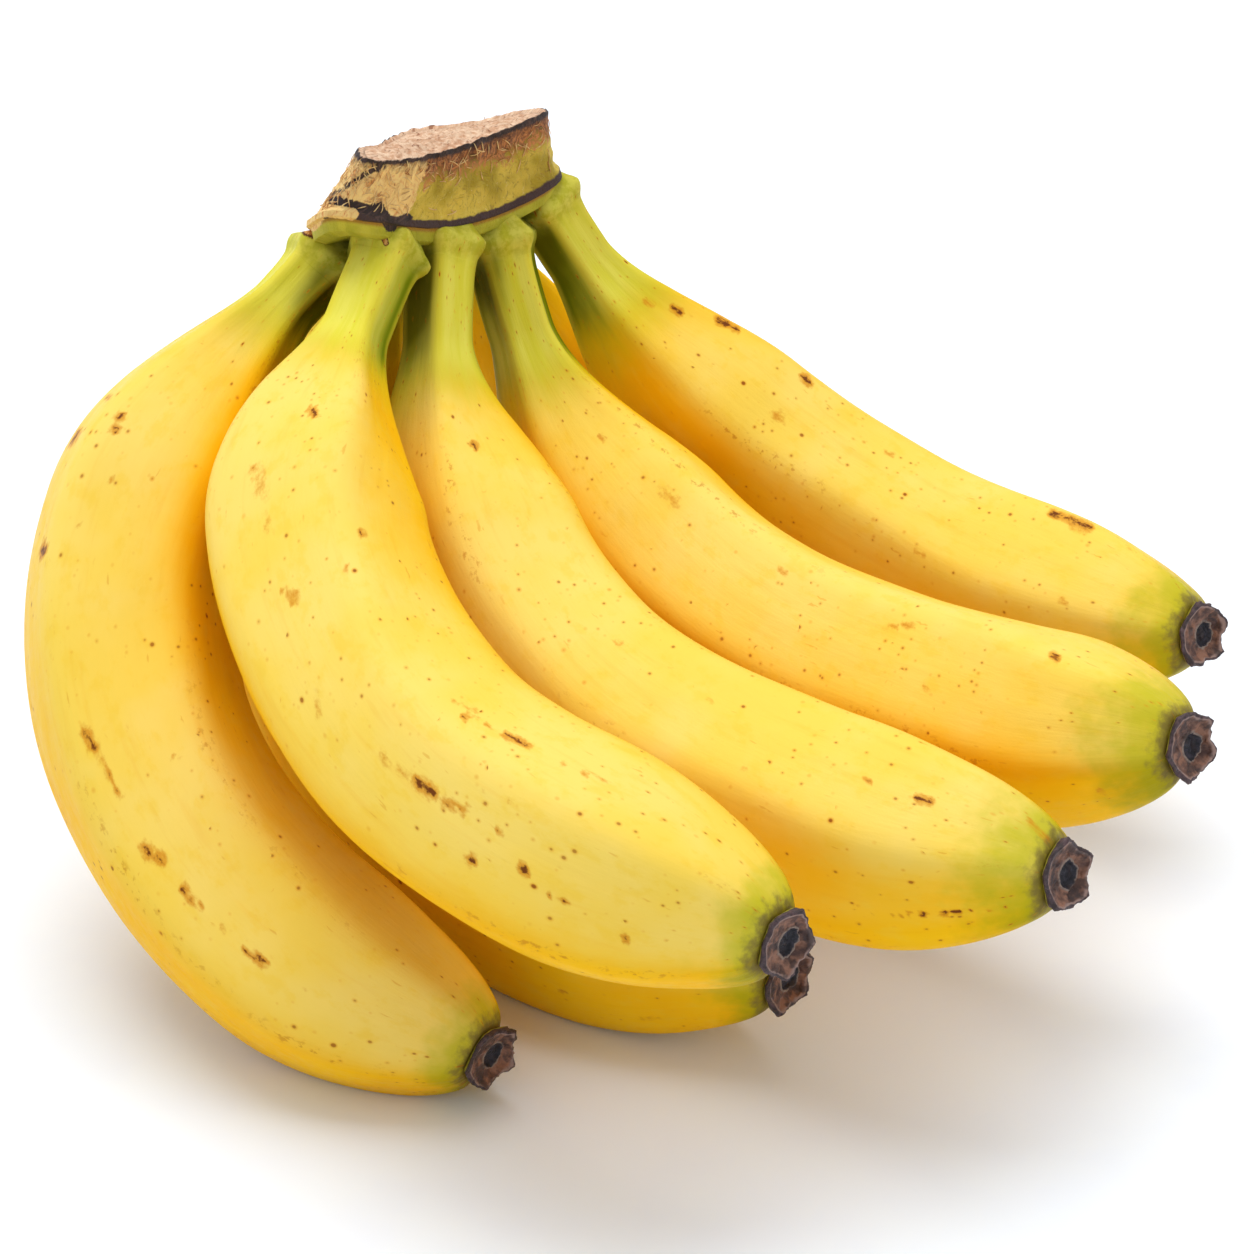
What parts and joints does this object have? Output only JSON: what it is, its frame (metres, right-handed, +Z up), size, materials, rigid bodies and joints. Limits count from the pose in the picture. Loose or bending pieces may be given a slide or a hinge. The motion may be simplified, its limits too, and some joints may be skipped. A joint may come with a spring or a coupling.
{
  "type": "bunch of bananas",
  "caption": "Bunch of ripe yellow bananas joined at a cut crown, lying on its lower fingers with green necks and dried dark blossom ends.",
  "frame": {"origin": "middle of the bunch's bounding box, on the surface it lies on", "axes": "+Z up, +X towards the right as the picture shows it, the side the fingers point to, +Y away from the viewer"},
  "size_m": [0.2305, 0.2278, 0.14],
  "materials": {
    "banana_skin": "waxy satin yellow skin, green at the neck, fine brown specks",
    "dried_end": "dry matte brown-black, wrinkled",
    "crown": "dry fibrous olive-green to brown, pale tan cut face"
  },
  "bodies": {
    "root": {"crown": "crown", "banana_front_1": "banana_skin", "banana_front_2": "banana_skin", "banana_front_3": "banana_skin", "banana_front_4": "banana_skin", "banana_front_5": "banana_skin", "banana_back_1": "banana_skin", "banana_back_2": "banana_skin", "blossom_end_front_1": "dried_end", "blossom_end_front_2": "dried_end", "blossom_end_front_3": "dried_end", "blossom_end_front_4": "dried_end", "blossom_end_front_5": "dried_end", "blossom_end_back_1": "dried_end", "blossom_end_back_2": "dried_end"}
  },
  "joints": []
}
